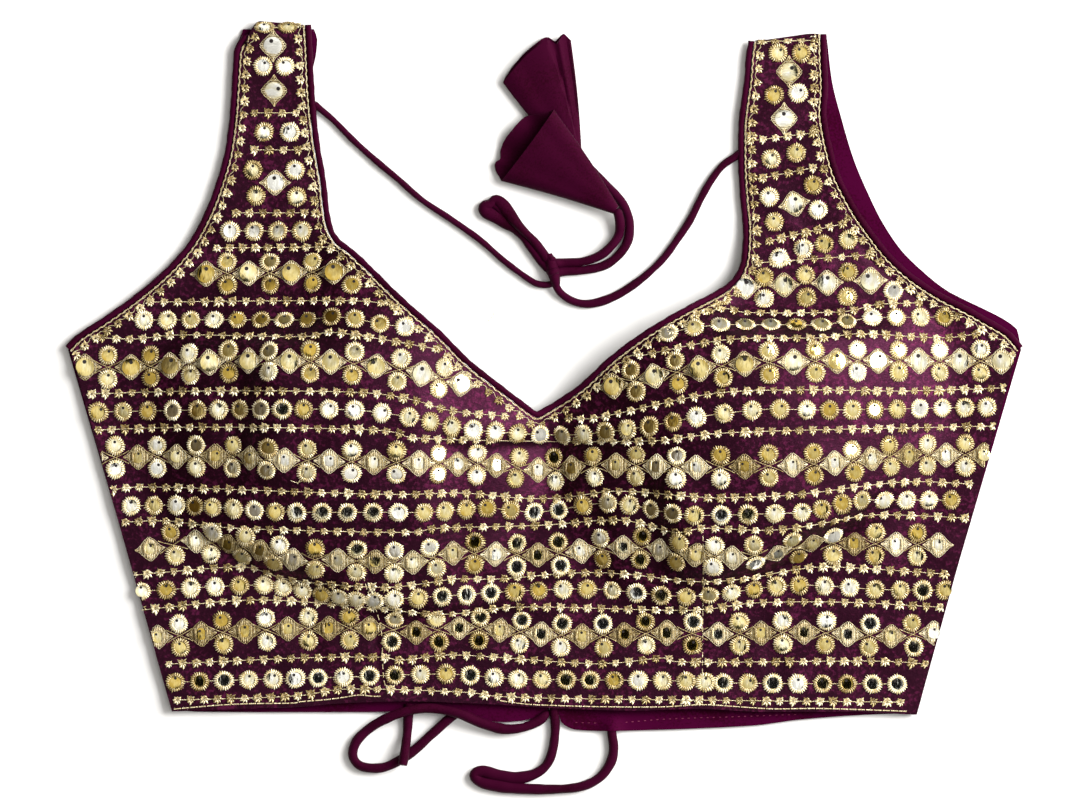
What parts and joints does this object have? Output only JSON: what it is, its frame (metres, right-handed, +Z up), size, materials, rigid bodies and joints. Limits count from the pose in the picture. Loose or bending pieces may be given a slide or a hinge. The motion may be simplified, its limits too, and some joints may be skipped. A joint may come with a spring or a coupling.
{
  "type": "choli blouse",
  "caption": "Sleeveless cropped blouse laid flat: padded mirror-worked front, plain open back, corded neck tie with cloth tassels, tie at the back hem.",
  "frame": {"origin": "centre of the garment's box in plan, at the surface it lies on, measured without the free cords and what is on them", "axes": "+X across the blouse, from the wearer's right side to the left as it lies with the front up; +Y from hem to shoulders; +Z up off the surface"},
  "size_m": [0.4594, 0.3703, 0.0318],
  "materials": {
    "mirrorwork_satin": "wine purple satin worked with gold thread and foil mirrors",
    "plain_satin": "plain wine satin",
    "cord_satin": "round satin cord"
  },
  "bodies": {
    "root": {"front_panel": "mirrorwork_satin", "back_left": "plain_satin", "back_right": "plain_satin", "neck_binding": "plain_satin", "armhole_binding_left": "plain_satin", "armhole_binding_right": "plain_satin", "neck_cord_left": "cord_satin", "neck_cord_right": "cord_satin", "neck_knot": "cord_satin", "bow_loop": "cord_satin", "tail_outer": "cord_satin", "tail_inner": "cord_satin", "tassel_upper": "plain_satin", "tassel_lower": "plain_satin", "hem_loop": "cord_satin", "hem_loop_end": "cord_satin", "hem_free_end": "cord_satin", "hem_tie": "cord_satin"}
  },
  "joints": []
}
